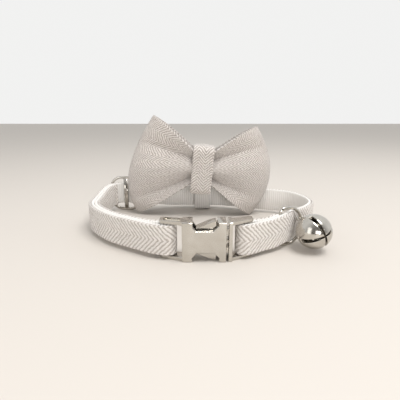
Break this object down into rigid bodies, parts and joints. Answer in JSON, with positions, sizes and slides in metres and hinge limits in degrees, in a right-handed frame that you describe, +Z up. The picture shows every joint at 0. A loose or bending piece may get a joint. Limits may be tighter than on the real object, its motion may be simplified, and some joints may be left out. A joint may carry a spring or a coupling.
{
  "type": "pet bow tie collar",
  "caption": "Fastened small pet collar: cloth-covered webbing loop with side-release metal buckle, slider, D-ring, round bell and a cloth bow tie on an elastic keeper.",
  "frame": {"origin": "middle of the whole collar's base, on the surface that it stands on", "axes": "+Z up along the height of the bow, -Y towards the buckle, +X towards the bell"},
  "size_m": [0.0958, 0.0684, 0.0471],
  "materials": {
    "webbing": "white ribbed polyester webbing",
    "herringbone_cover": "off-white brushed herringbone twill",
    "bow_cloth": "beige-grey brushed herringbone twill",
    "elastic": "plain flat elastic",
    "nickel": "polished nickel plate"
  },
  "bodies": {
    "collar": {"strap_webbing": "webbing", "strap_cover": "herringbone_cover", "buckle_body": "nickel", "buckle_insert": "nickel", "slider": "nickel", "bow_loop": "bow_cloth", "bow_knot": "bow_cloth", "bow_keeper": "elastic"},
    "d_ring_and_bell": {"d_ring": "nickel", "bell": "nickel", "bell_pellet": "nickel"}
  },
  "joints": [
    {"name": "d_ring_swing", "type": "hinge", "parent": "collar", "child": "d_ring_and_bell", "pos_m": [0.02835, -0.02067, 0.00745], "axis": [0, 0, 1], "range_deg": [-70, 0]}
  ]
}
